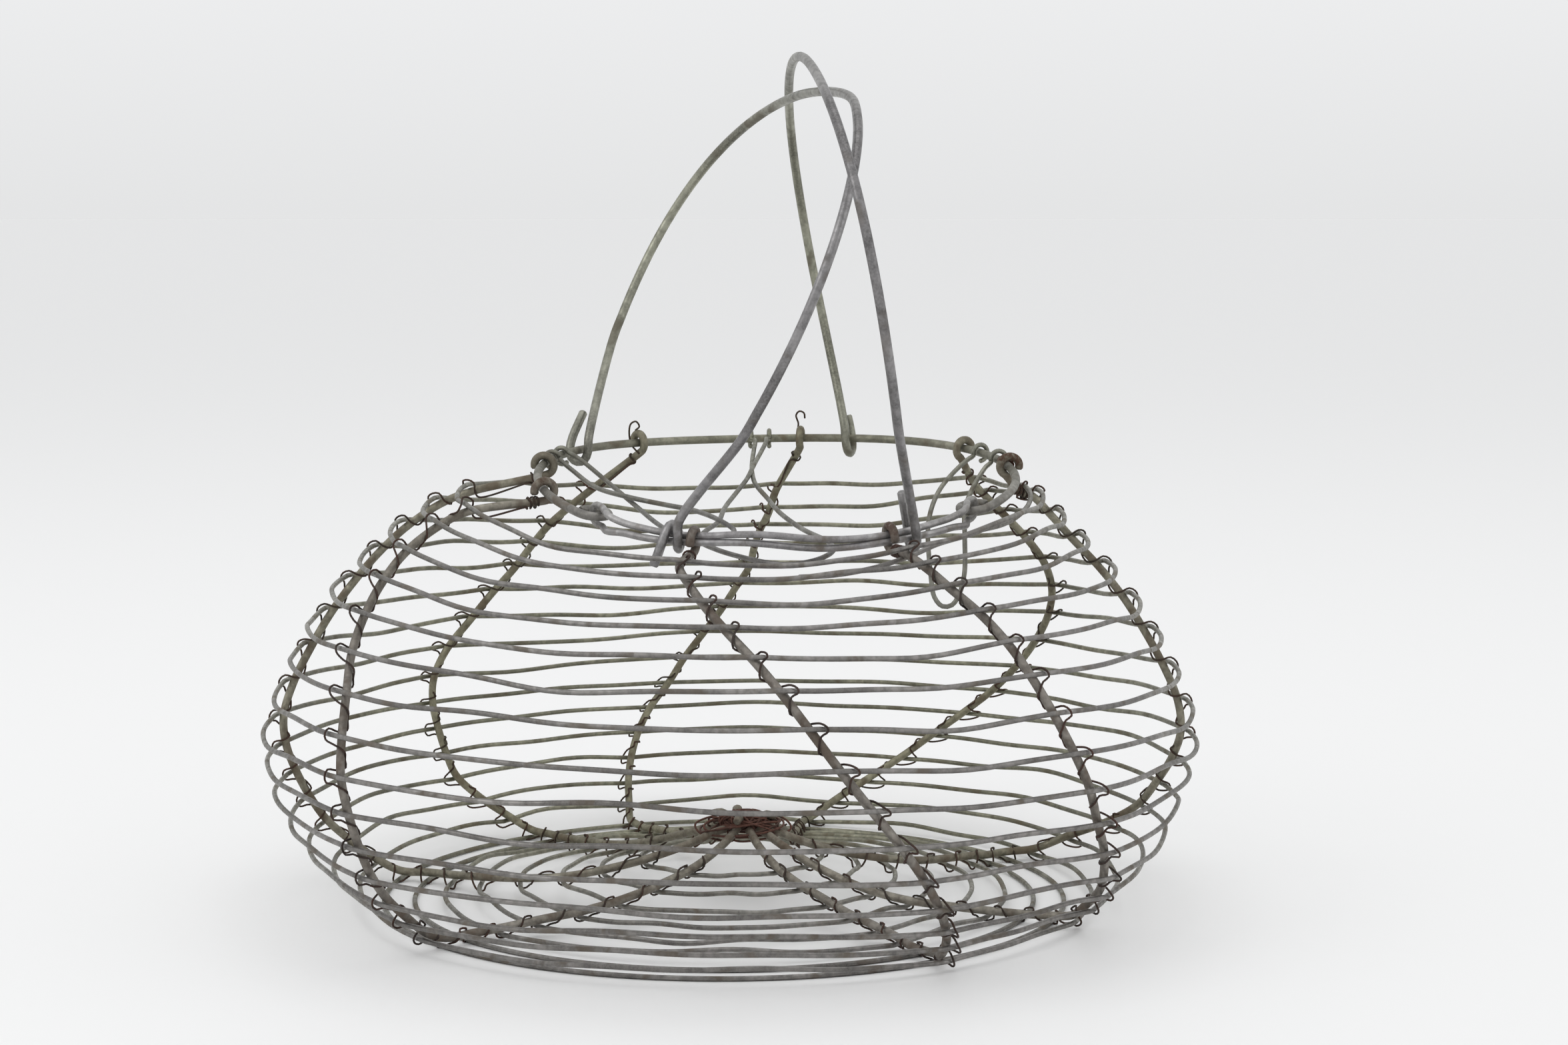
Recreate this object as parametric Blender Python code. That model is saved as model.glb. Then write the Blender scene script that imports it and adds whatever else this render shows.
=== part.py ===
"""A wire gathering basket: eight ribs, a spiral side wire, a mouth rim, two bails and three flaps.

Run with: blender --background --python part.py
Units are metres, +Z is up, the basket stands on Z = 0 and its front looks along -Y.
"""

import math

import bpy
import numpy as np
from mathutils import Matrix, Vector

NAME = "gathering_basket"

# Wire radii.
RIM_R = 0.0014
RIB_R = 0.00135
SIDE_R = 0.0008
BAIL_R = 0.0015
FLAP_R = 0.0008
TIE_R = 0.0005
LASH_R = 0.00035
GAP = 0.00035

# The basket's skin, from the mouth to the middle of the floor. Each row is a height on the wall:
# turn of the side wire that passes there at the front, radius, height, shift towards +X,
# rise per metre towards the back, and lift of the left and right sides.
SKIN = (
    (-0.9, 0.0780, 0.1380, 0.0150, 0.135, 0.0025),
    (0.1, 0.0895, 0.1315, 0.0080, 0.070, 0.0035),
    (1.0, 0.0965, 0.1290, 0.0045, 0.000, 0.0065),
    (3.5, 0.1200, 0.1125, 0.0000, -0.025, 0.0050),
    (6.0, 0.1405, 0.0890, 0.0000, -0.030, 0.0020),
    (9.0, 0.1540, 0.0555, 0.0000, -0.020, 0.0000),
    (12.0, 0.1450, 0.0260, 0.0000, 0.000, 0.0000),
    (14.0, 0.1300, 0.0100, 0.0000, 0.000, 0.0000),
    (15.8, 0.1140, 0.0007, 0.0000, 0.000, 0.0000),
    (16.9, 0.1030, 0.0007, 0.0000, 0.000, 0.0000),
    (18.7, 0.0850, 0.0028, 0.0010, 0.000, 0.0000),
    (20.6, 0.0600, 0.0065, 0.0020, 0.000, 0.0000),
    (22.9, 0.0310, 0.0145, 0.0030, 0.000, 0.0000),
    (24.6, 0.0100, 0.0215, 0.0040, 0.000, 0.0000),
)
MOUTH_TURN = SKIN[0][0]
HUB_TURN = SKIN[-1][0]

# The side wire starts at the front of the shoulder and ends under the floor.
FIRST_TURN = 0.12
LAST_TURN = 23.6
# Between two ribs the side wire runs flatter than the skin, by this share of the radius, but it
# is level on the turns that the basket stands on.
WIRE_BOW = 0.007
BASE_TURNS = (15.5, 17.3)

# Azimuth of each rib, in degrees from +X, at the turns in RIB_TURNS: the ribs wind round the wall.
RIB_TURNS = (-0.9, 3.7, 9.0, 12.2, 16.3, 20.6, 24.6)
RIB_AZIMUTHS = {
    "left": (170, 168, 173, 171, 168, 188, 212),
    "front_left": (197, 207, 220, 221, 219, 229, 250),
    "front": (252, 269, 285, 295, 303, 301, 284),
    "front_right": (295.5, 306, 314, 323, 336, 322, 312),
    "right": (368, 370, 365, 371, 388, 375, 340),
    "back_right": (394, 389, 409, 422, 436, 432, 400),
    "back": (443, 446, 458, 465, 469, 467, 455),
    "back_left": (487, 487, 496, 496, 488, 495, 514),
}
RIBS_ON_LINK = ("front", "front_right")
EYE_R = RIM_R + RIB_R + 0.0007
LINK_EYE_R = 0.0047
# The lashing keeps these distances from a rib's centre: beside it, under it and over the crossing.
LASH_SIDE = RIB_R + LASH_R + 0.0011
LASH_UNDER = RIB_R + LASH_R + 0.0015
LASH_OVER = RIB_R + 2 * SIDE_R + LASH_R + 0.0012
LASH_STEP = 0.0017
LASH_FLOOR = 0.0034
EYE_START = math.radians(-12)
EYE_SWEEP = 257

# The rim: an open hoop round the back of the mouth, closed at the front by a long wire link.
HOOP_START = -33
HOOP_END = 218
LINK_HALF_HEIGHT = 0.0015
LINK_END_HALF_HEIGHT = 0.0030
LINK_R = 0.0011
END_EYE_R = 0.0046

# Each bail: azimuths of its back and front hooks on the rim, lean towards +X in degrees at rest,
# height, bulge of its back and front legs, shift of its crown towards the front hook, and warp.
BAILS = {
    "bail_left": (148.5, 245.5, 25.5, 0.1447, 2.05, 0.90, 0.0156, -0.0068),
    "bail_right": (70.0, 300.5, -11.2, 0.1419, 1.16, 1.10, 0.0096, 0.0003),
}
# Each bail's back hook and front hook: radius, sweep in degrees, and length of the straight tail.
HOOKS = {
    "bail_left": ((0.0050, 205, 0.010), (0.0058, 205, 0.007)),
    "bail_right": ((0.0050, 205, 0.006), (0.0058, 190, 0.009)),
}

# Each flap: azimuth of its eyes on the rim, spread of its eyes, distance at which its strands
# cross, length, width, bearing of its tip in degrees from +X, and its fall below the horizontal
# in degrees, at its eyes and at its tip.
FLAPS = {
    "flap_back": (93.5, 0.0068, 0.014, 0.134, 0.054, 272.5, 9.5, 9.5),
    "flap_left": (160, 0.0085, 0.048, 0.098, 0.024, 304, 6.0, 6.0),
    "flap_right": (22, 0.0120, 0.0, 0.058, 0.012, 222, 42, 88),
}

GALVANISED = (0.34, 0.34, 0.33)
DULL_GREY = (0.25, 0.245, 0.235)
RUST_DARK = (0.075, 0.055, 0.045)


def smooth(xs, ys, x):
    """Monotone cubic through the points (xs, ys): it never swings past a row of the table."""
    xs, ys = np.asarray(xs, float), np.asarray(ys, float)
    slope = np.diff(ys) / np.diff(xs)
    tangent = np.concatenate([slope[:1], (slope[:-1] + slope[1:]) / 2, slope[-1:]])
    for i in range(1, len(xs) - 1):
        if slope[i - 1] * slope[i] <= 0:
            tangent[i] = 0
        else:
            tangent[i] = 2 * slope[i - 1] * slope[i] / (slope[i - 1] + slope[i])
    i = int(np.clip(np.searchsorted(xs, x) - 1, 0, len(xs) - 2))
    h = xs[i + 1] - xs[i]
    t = (x - xs[i]) / h
    return (
        ys[i] * (2 * t**3 - 3 * t**2 + 1)
        + ys[i + 1] * (3 * t**2 - 2 * t**3)
        + h * tangent[i] * (t**3 - 2 * t**2 + t)
        + h * tangent[i + 1] * (t**3 - t**2)
    )


def skin_value(column, turn):
    return smooth([row[0] for row in SKIN], [row[column] for row in SKIN], turn)


def skin(turn, azimuth, out=0.0):
    """Point on the basket's skin, moved out of it by a distance; azimuth is in degrees."""
    step = 0.05
    radius, height = skin_value(1, turn), skin_value(2, turn)
    a, b = max(turn - step, MOUTH_TURN), min(turn + step, HUB_TURN)
    along = Vector((skin_value(1, b) - skin_value(1, a), skin_value(2, b) - skin_value(2, a)))
    along.normalize()
    radius -= out * along.y
    height += out * along.x
    angle = math.radians(azimuth)
    y = radius * math.sin(angle)
    height += skin_value(4, turn) * y + skin_value(5, turn) * math.cos(2 * angle)
    return Vector((skin_value(3, turn) + radius * math.cos(angle), y, height))


def rim_point(azimuth):
    return skin(MOUTH_TURN, azimuth)


def rim_direction(azimuth):
    return (rim_point(azimuth + 1) - rim_point(azimuth - 1)).normalized()


def rib_azimuth(name, turn):
    return smooth(RIB_TURNS, RIB_AZIMUTHS[name], turn)


def crossing_turn(name, count):
    """Turn at which the side wire crosses a rib for the given time."""
    turn = float(count)
    for _ in range(12):
        turn = count + (rib_azimuth(name, turn) - 270) / 360
    return turn


def arc(centre, start, across, sweep, count):
    """Points of an arc that begins at centre + start and turns towards across."""
    points = []
    for i in range(count + 1):
        angle = math.radians(sweep) * i / count
        points.append(centre + start * math.cos(angle) + across * math.sin(angle))
    return points


def rib_inset():
    """How far the centre of a rib lies inside the side wire's centre."""
    return SIDE_R + RIB_R + GAP + 0.0002


def rib_eye(name):
    """The eye of a rib: from its cut end outside the rim, over it, down inside and back under."""
    azimuth = rib_azimuth(name, MOUTH_TURN)
    radius = LINK_EYE_R if name in RIBS_ON_LINK else EYE_R
    along = rim_direction(azimuth)
    outward = along.cross(Vector((0, 0, 1))).normalized()
    up = outward.cross(along)
    start = outward * math.cos(EYE_START) + up * math.sin(EYE_START)
    across = up * math.cos(EYE_START) - outward * math.sin(EYE_START)
    return arc(rim_point(azimuth), start * radius, across * radius, EYE_SWEEP, 8)


def rib_points(name):
    """A rib: an eye over the rim, down the wall inside the side wire, and in under the floor."""
    crossings = [crossing_turn(name, count) for count in range(-2, 26)]
    turns = [turn for turn in crossings if FIRST_TURN < turn < HUB_TURN - 0.3]
    wall = [skin(turn, rib_azimuth(name, turn), -rib_inset()) for turn in turns]
    return rib_eye(name) + wall + [skin(HUB_TURN, rib_azimuth(name, HUB_TURN), -rib_inset())]


def side_wire_point(turn, azimuth, bow):
    """Point of the side wire; bow is 0 at a rib and 1 halfway to the next, where it runs flatter."""
    if BASE_TURNS[0] < turn < BASE_TURNS[1]:
        bow = 0
    return skin(turn, azimuth, -bow * WIRE_BOW * skin_value(1, turn))


def side_wire_row(count):
    """Turn and bow of each point of one turn of the side wire, from seam to seam."""
    names = list(RIB_AZIMUTHS)
    crossings = [crossing_turn(name, count) for name in names[2:]]
    crossings += [crossing_turn(name, count + 1) for name in names[:2]]
    first = (crossing_turn("front_left", count) + crossings[0]) / 2
    last = (crossings[-1] + crossing_turn("front", count + 1)) / 2
    row = [(first, 1.0), ((first + 2 * crossings[0]) / 3, 0.7)]
    for here, there in zip(crossings, crossings[1:]):
        row += [(here, 0.0), ((2 * here + there) / 3, 1.0), ((here + 2 * there) / 3, 1.0)]
    return row + [(crossings[-1], 0.0), ((last + 2 * crossings[-1]) / 3, 0.7), (last, 1.0)]


def side_wire_turns():
    """The side wire cut into one piece for each turn, with a fine gap between their ends."""
    turns = []
    for count in range(0, 24):
        row = [stop for stop in side_wire_row(count) if FIRST_TURN < stop[0] < LAST_TURN]
        points = [side_wire_point(turn, 270 + 360 * turn, bow) for turn, bow in row]
        along = (points[-1] - points[-2]).normalized()
        points[-1] = points[-1] - along * GAP
        turns.append(points)
    return turns


def lashing_points(name):
    """Fine wire that winds down a rib, and goes over it once at each crossing with the side wire."""
    crossings = [crossing_turn(name, n) for n in range(-1, 25)]
    stops = [turn for turn in crossings if 1.1 < turn < LAST_TURN - 0.2]
    points = []
    for turn, after in zip(stops, stops[1:] + [None]):
        here, down, side_wire, out = lashing_frame(name, turn)
        across = out.cross(down)
        diagonal = down - side_wire * math.copysign(1, down.dot(side_wire))
        across *= math.copysign(1, diagonal.dot(across))
        if skin(turn, 0).z > LASH_FLOOR:
            for side in (-1, 1):
                low = across * side * LASH_SIDE + down * side * LASH_STEP * 1.3 - out * 0.0010
                high = across * side * LASH_SIDE * 0.85 + down * side * LASH_STEP + out * LASH_OVER
                points += [here + low, here + high][::-side]
        if after is not None:
            here, down, side_wire, out = lashing_frame(name, (turn + after) / 2)
            points.append(here - out * LASH_UNDER)
    return points


def lashing_frame(name, turn):
    """A rib's centre at a turn, the directions down the rib and along the side wire, and outward."""
    azimuth = rib_azimuth(name, turn)
    here = skin(turn, azimuth, -rib_inset())
    ahead = skin(turn + 0.1, rib_azimuth(name, turn + 0.1), -rib_inset())
    behind = skin(turn - 0.1, rib_azimuth(name, turn - 0.1), -rib_inset())
    down = (ahead - behind).normalized()
    side_wire = (skin(turn, azimuth + 8) - skin(turn, azimuth - 8)).normalized()
    out = side_wire.cross(down).normalized()
    out = out if out.dot(skin(turn, azimuth, 0.01) - skin(turn, azimuth)) > 0 else -out
    return here, down, side_wire, out


def hoop_points():
    """The rim hoop, with a small eye turned outward at each end."""
    angles = np.linspace(HOOP_START, HOOP_END, 30)
    middle = [rim_point(azimuth) for azimuth in angles]
    ends = []
    for azimuth, sign in ((HOOP_START, -1), (HOOP_END, 1)):
        along = rim_direction(azimuth) * sign
        outward = rim_direction(azimuth).cross(Vector((0, 0, 1))).normalized()
        centre = rim_point(azimuth) - outward * END_EYE_R
        ends.append(arc(centre, outward * END_EYE_R, along * END_EYE_R, 290, 8)[1:])
    ends[0].reverse()
    return ends[0] + middle + ends[1]


def link_points():
    """The front link: one long loop of wire, wider at its ends, which pass through the end eyes."""
    start, end = HOOP_END + 1.4, 360 + HOOP_START - 1.4
    degree = math.degrees(1 / SKIN[0][1])
    near_end = [degree * d for d in (0, 0.003, 0.0065, 0.011, 0.017)]
    angles = [start + d for d in near_end]
    angles += list(np.linspace(angles[-1], end - near_end[-1], 12)[1:-1])
    angles += [end - d for d in reversed(near_end)]
    upper, lower = [], []
    for angle in angles:
        distance = min(angle - start, end - angle) / degree
        shift = smooth((0, 0.003, 0.011, 0.10), (1, 0.95, 0, 0), distance)
        wide = smooth((0, 0.0065, 0.017, 0.10), (1, 1, 0, 0), distance)
        half = LINK_HALF_HEIGHT + (LINK_END_HALF_HEIGHT - LINK_HALF_HEIGHT) * wide
        azimuth = float(angle)
        inward = rim_direction(azimuth).cross(Vector((0, 0, -1))).normalized()
        middle = rim_point(azimuth) + inward * END_EYE_R * shift
        upper.append(middle + Vector((0, 0, half)))
        lower.append(middle - Vector((0, 0, half)))
    lower.reverse()
    caps = []
    for azimuth, sign, first, last in (
        (end, 1, upper[-1], lower[0]),
        (start, -1, lower[-1], upper[0]),
    ):
        along = rim_direction(azimuth) * sign * LINK_END_HALF_HEIGHT * 0.8
        caps.append(arc((first + last) / 2, (first - last) / 2, along, 180, 4)[1:-1])
    return upper + caps[0] + lower + caps[1]


def bail_frame(name):
    """Centre between a bail's hooks, direction to the front hook, and direction of its crown."""
    back, front, lean = BAILS[name][:3]
    a, b = rim_point(back), rim_point(front)
    axis = (b - a).normalized()
    up = Vector((0, 0, 1))
    up = (up - axis * up.dot(axis)).normalized()
    crown = Matrix.Rotation(math.radians(-lean), 3, axis) @ up
    if crown.x * lean < 0:
        crown = Matrix.Rotation(math.radians(lean), 3, axis) @ up
    return (a + b) / 2, axis, crown, (b - a).length / 2


def hook_points(centre, tangent, axis, crown, middle_angle, side, hook):
    """A hook round the rim: down inside the rim, under it and up outside to a straight tail."""
    turned = Matrix.Rotation(math.radians(middle_angle), 3, axis) @ tangent
    up = (crown - turned * crown.dot(turned)).normalized()
    across = turned.cross(up)
    if across.dot(axis.cross(crown)) * side < 0:
        across = -across
    radius, sweep, tail = hook
    points = arc(centre, across * radius, up * -radius, sweep, 8)
    last = (points[-1] - points[-2]).normalized()
    return points + [points[-1] + last * tail]


def bail_points(name):
    """A bail: a broad bulging arch with a hook at each foot."""
    back, front, lean, height, back_bulge, front_bulge, skew, warp = BAILS[name]
    middle, axis, crown, half = bail_frame(name)
    arch = []
    for i in range(2, 23):
        t = math.pi * i / 24
        bulge = back_bulge if i < 12 else front_bulge
        along = -half * math.cos(t) * (1 + bulge * math.sin(t)) + skew * math.sin(t)
        bend = axis.cross(crown) * warp * math.sin(2 * t) * math.sin(t)
        arch.append(middle + axis * along + crown * height * math.sin(t) + bend)
    outward = -1 if name == "bail_left" else 1
    feet = []
    for azimuth, foot, hook in zip((back, front), (-half, half), HOOKS[name]):
        tangent = rim_direction(azimuth)
        if tangent.dot(axis) < 0:
            tangent = -tangent
        swing = 45 * outward
        centre = middle + axis * foot
        feet.append(hook_points(centre, tangent, axis, crown, swing, outward, hook))
    feet[0].reverse()
    return feet[0] + arch + feet[1]


def flap_path(name, distance):
    """Point and direction of a flap's middle line at a distance from its eyes."""
    azimuth, spread, crossing, length, width, bearing, fall, tip_fall = FLAPS[name]
    heading = Vector((math.cos(math.radians(bearing)), math.sin(math.radians(bearing)), 0))
    down = Vector((0, 0, -1))
    point = rim_point(azimuth)
    steps = 40
    direction = heading
    for i in range(steps):
        blend = min(1.0, distance * (i + 0.5) / steps / (0.55 * length))
        angle = math.radians(fall + (tip_fall - fall) * blend)
        direction = heading * math.cos(angle) + down * math.sin(angle)
        point = point + direction * distance / steps
    return point, direction


def flap_points(name):
    """A flap: a hairpin of wire from two eyes on the rim, its strands crossed, to a round end."""
    azimuth, spread, crossing, length, width, bearing, fall, tip_fall = FLAPS[name]
    hinge = rim_direction(azimuth)
    eye_r = RIM_R + FLAP_R + 0.0008
    table = [(eye_r, spread / 2), (0.6 * length, 0.42 * width), (0.86 * length, width / 2)]
    if crossing:
        table[0] = (eye_r, -spread / 2)
        table.insert(1, (crossing, 0))
    halves = ([], [])
    for distance in np.linspace(eye_r + 0.005, 0.86 * length, 11):
        point, direction = flap_path(name, distance)
        side = (hinge - direction * hinge.dot(direction)).normalized()
        over = side.cross(direction)
        half = smooth([row[0] for row in table], [row[1] for row in table], distance)
        lift = 0
        if crossing:
            lift = (FLAP_R + GAP) * math.exp(-(((distance - crossing) / 0.010) ** 2))
        halves[0].append(point + side * half + over * lift)
        halves[1].append(point - side * half - over * lift)
    cap = arc(point, side * width / 2, direction * 0.14 * length, 180, 8)[1:-1]
    eyes = []
    turned = -1 if crossing else 1
    for sign in (1, -1):
        at = rim_point(azimuth) + hinge * sign * turned * spread / 2
        level = (flap_path(name, eye_r)[1]).normalized()
        level = (level - hinge * level.dot(hinge)).normalized()
        up = hinge.cross(level)
        up = up if up.z > 0 else -up
        eyes.append(arc(at, level * eye_r, up * eye_r, 290, 7))
    return eyes[0][::-1] + halves[0] + cap + halves[1][::-1] + eyes[1]


def hub_tie_points():
    """The tie at the middle of the floor: a coil of fine wire that lies on the ribs' ends."""
    points = []
    turns, steps = 3, 12
    for i in range(turns * steps + 1):
        angle = 2 * math.pi * i / steps
        radius = 0.0125 - 0.0016 * i / steps
        centre = skin(HUB_TURN, 0) - Vector((0.010, 0, 0))
        height = centre.z + SIDE_R + 2 * RIB_R + TIE_R + 3 * GAP
        points.append(Vector((centre.x + radius * math.cos(angle), radius * math.sin(angle), height)))
    return points


def finish(name, colour, roughness, metallic=1.0):
    """A plain metal for one sub-part."""
    material = bpy.data.materials.new(name)
    material.use_nodes = True
    shader = material.node_tree.nodes["Principled BSDF"]
    shader.inputs["Base Color"].default_value = (*colour, 1)
    shader.inputs["Roughness"].default_value = roughness
    shader.inputs["Metallic"].default_value = metallic
    return material


def wire(name, points, radius, colour, sides=6, origin=None, closed=False, level=False):
    """A wire as a curve object, with its origin on a joint where it moves.

    A level wire has a flat facet on its underside.
    """
    curve = bpy.data.curves.new(name, "CURVE")
    curve.dimensions = "3D"
    curve.twist_mode = "Z_UP" if level else "MINIMUM"
    curve.bevel_depth = radius
    curve.bevel_resolution = (sides - 4) // 2
    curve.use_fill_caps = not closed
    spline = curve.splines.new("POLY")
    spline.points.add(len(points) - 1)
    origin = origin or Vector((0, 0, 0))
    for target, point in zip(spline.points, points):
        target.co = (*(point - origin), 1)
    spline.use_cyclic_u = closed
    spline.use_smooth = True
    curve.materials.append(finish(name, colour, 0.5))
    thing = bpy.data.objects.new(name, curve)
    thing.location = origin
    parts.objects.link(thing)
    return thing


def make_rim():
    wire("rim_hoop", hoop_points(), RIM_R, DULL_GREY)
    wire("rim_front_link", link_points(), LINK_R, GALVANISED, closed=True)


def make_ribs():
    for name in RIB_AZIMUTHS:
        wire(f"rib_{name}", rib_points(name), RIB_R, DULL_GREY)


def make_side_wire():
    for number, points in enumerate(side_wire_turns(), 1):
        wire(f"side_wire_turn_{number:02d}", points, SIDE_R, GALVANISED, level=True)


def make_lashings():
    for name in RIB_AZIMUTHS:
        wire(f"lashing_{name}", lashing_points(name), LASH_R, RUST_DARK, sides=4)


def make_hub_tie():
    wire("hub_tie", hub_tie_points(), TIE_R, RUST_DARK)


def make_bails():
    for name in BAILS:
        wire(name, bail_points(name), BAIL_R, GALVANISED, origin=bail_frame(name)[0])


def make_flaps():
    for name in FLAPS:
        wire(name, flap_points(name), FLAP_R, DULL_GREY, origin=rim_point(FLAPS[name][0]))


for old in list(bpy.data.objects):
    bpy.data.objects.remove(old)
parts = bpy.data.collections.new(NAME)
bpy.context.scene.collection.children.link(parts)

make_rim()
make_ribs()
make_side_wire()
make_lashings()
make_hub_tie()
make_bails()
make_flaps()
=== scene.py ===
"""Looks of a wire gathering basket: round drawn wires, loose lashings, worn zinc and rust."""

import math
import random

import bpy
import numpy as np
from mathutils import Matrix, Vector


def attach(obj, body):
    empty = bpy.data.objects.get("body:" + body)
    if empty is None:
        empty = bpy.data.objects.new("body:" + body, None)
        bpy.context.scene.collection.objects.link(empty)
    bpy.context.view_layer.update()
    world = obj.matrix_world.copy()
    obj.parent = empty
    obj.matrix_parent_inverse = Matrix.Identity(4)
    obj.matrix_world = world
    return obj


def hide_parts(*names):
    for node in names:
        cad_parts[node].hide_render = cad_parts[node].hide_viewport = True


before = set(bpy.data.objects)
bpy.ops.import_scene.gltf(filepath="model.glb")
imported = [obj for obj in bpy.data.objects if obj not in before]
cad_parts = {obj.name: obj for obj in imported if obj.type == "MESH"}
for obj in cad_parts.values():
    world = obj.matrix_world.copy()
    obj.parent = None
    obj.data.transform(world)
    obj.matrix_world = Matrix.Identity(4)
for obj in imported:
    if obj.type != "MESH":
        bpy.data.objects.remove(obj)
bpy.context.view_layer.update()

# Wire radii, in metres.
RIM_R = 0.0014
RIB_R = 0.00135
SIDE_R = 0.0008
BAIL_R = 0.0015
FLAP_R = 0.0008
TIE_R = 0.00036
LASH_R = 0.00033
LINK_R = 0.0011

# Room between wires: side wire to rib, and lashing to the wires it goes round.
SIDE_GAP = 0.00035 + 0.0002
LASH_GAP = 0.0002

# The basket's skin: turn, radius, height, shift in x, slope to the back and lift at the sides.
# It follows the frame's, and dips up to 1.8 mm lower in the middle of the floor.
SKIN = (
    (-0.9, 0.0780, 0.1380, 0.0150, 0.135, 0.0025),
    (0.1, 0.0895, 0.1315, 0.0080, 0.070, 0.0035),
    (1.0, 0.0965, 0.1290, 0.0045, 0.000, 0.0065),
    (3.5, 0.1200, 0.1125, 0.0000, -0.025, 0.0050),
    (6.0, 0.1405, 0.0890, 0.0000, -0.030, 0.0020),
    (9.0, 0.1540, 0.0555, 0.0000, -0.020, 0.0000),
    (12.0, 0.1450, 0.0260, 0.0000, 0.000, 0.0000),
    (14.0, 0.1300, 0.0100, 0.0000, 0.000, 0.0000),
    (15.8, 0.1140, 0.0007, 0.0000, 0.000, 0.0000),
    (16.9, 0.1030, 0.0007, 0.0000, 0.000, 0.0000),
    (18.7, 0.0850, 0.0028, 0.0010, 0.000, 0.0000),
    (20.6, 0.0600, 0.0056, 0.0020, 0.000, 0.0000),
    (22.9, 0.0310, 0.0127, 0.0030, 0.000, 0.0000),
    (24.6, 0.0100, 0.0200, 0.0040, 0.000, 0.0000),
)
MOUTH_TURN = SKIN[0][0]
HUB_TURN = SKIN[-1][0]
FIRST_TURN = 0.12
LAST_TURN = 23.6
WIRE_BOW = 0.016
BASE_TURNS = (15.5, 17.3)
FULL_RADIUS = 0.12

# The wire's cut end lies along the front, below the link, and runs up to the first turn.
SIDE_WIRE_START = (
    (0.0202, -0.0950, 0.1179),
    (0.0304, -0.0935, 0.1183),
    (0.0426, -0.0875, 0.1197),
    (0.0549, -0.0790, 0.1226),
    (0.0625, -0.0722, 0.1250),
)

# Azimuth of each rib at the turns in RIB_TURNS.
RIB_TURNS = (-0.9, 3.7, 9.0, 12.2, 16.3, 20.6, 24.6)
RIB_AZIMUTHS = {
    "left": (170, 168, 173, 171, 168, 188, 212),
    "front_left": (197, 207, 220, 221, 219, 229, 250),
    "front": (250.2, 268.5, 285, 295, 303, 301, 284),
    "front_right": (295.5, 306, 314, 323, 336, 322, 312),
    "right": (368, 370, 365, 371, 388, 375, 340),
    "back_right": (394, 389, 409, 422, 436, 432, 400),
    "back": (443, 446, 458, 465, 469, 467, 455),
    "back_left": (487, 487, 496, 496, 488, 495, 514),
}
RIBS_ON_LINK = ("front", "front_right")

# Eyes of the ribs: round on the hoop, and oval where both strands of the link pass through.
EYE_R = RIM_R + RIB_R + 0.0005
LINK_EYE_WIDE = 0.0029
LINK_EYE_TALL = 0.0037
EYE_START = -12
EYE_SWEEP = 257

# The rim: azimuths where the hoop ends, its end eyes, and half the link's height.
HOOP_START = -33
HOOP_END = 218
LINK_HALF_HEIGHT = 0.0015
LINK_END_HALF_HEIGHT = 0.0030
END_EYE_R = 0.0046

# Each bail: azimuths of its back and front feet, lean in degrees, height, bulge at the back and
# the front, skew towards the front, and warp out of its plane.
BAILS = {
    "bail_left": (148.5, 245.5, 25.5, 0.1447, 2.05, 0.90, 0.0156, -0.0068),
    "bail_right": (70.0, 300.5, -11.2, 0.1419, 1.16, 1.10, 0.0096, 0.0003),
}
# Each bail's back foot and front foot, from the leg to the cut end: millimetres outward from the
# rim's centre, up, and along the rim.
FEET = {
    "bail_left": (
        ((-3.9, 4.0, 0.0), (-3.7, 0.0, 0.3), (-2.3, -2.9, 0.6), (0.4, -3.6, 0.8), (2.8, -2.2, 0.9),
         (3.6, 0.6, 0.4), (3.9, 4.5, -2.0), (3.6, 8.4, -5.0), (3.3, 12.0, -8.0)),
        ((3.2, 5.5, 2.4), (3.0, 1.6, 2.6), (2.3, -1.2, 2.4), (-0.1, -2.8, 1.8), (-2.6, -1.6, 1.0),
         (-3.1, 1.2, 0.0), (-1.5, 4.0, -0.8), (1.4, 4.0, -1.2), (3.2, 1.0, -1.8),
         (4.4, -3.8, -2.6), (5.4, -8.0, -3.4)),
    ),
    "bail_right": (
        ((-3.8, 4.5, 0.6), (-3.6, 0.0, 0.3), (-2.4, -3.6, 0.0), (0.2, -4.8, -0.2), (2.6, -3.4, -0.2),
         (3.5, 0.0, 0.2), (3.6, 3.5, 0.8), (3.6, 7.8, 1.8)),
        ((3.8, 4.5, -0.4), (3.7, 0.5, 0.0), (2.4, -3.4, 0.4), (-0.6, -4.6, 1.0), (-3.2, -2.8, 1.6),
         (-3.8, 1.0, 2.0), (-3.6, 5.5, 1.6), (-3.2, 9.5, 1.0), (-2.9, 12.5, 0.6)),
    ),
}
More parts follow.
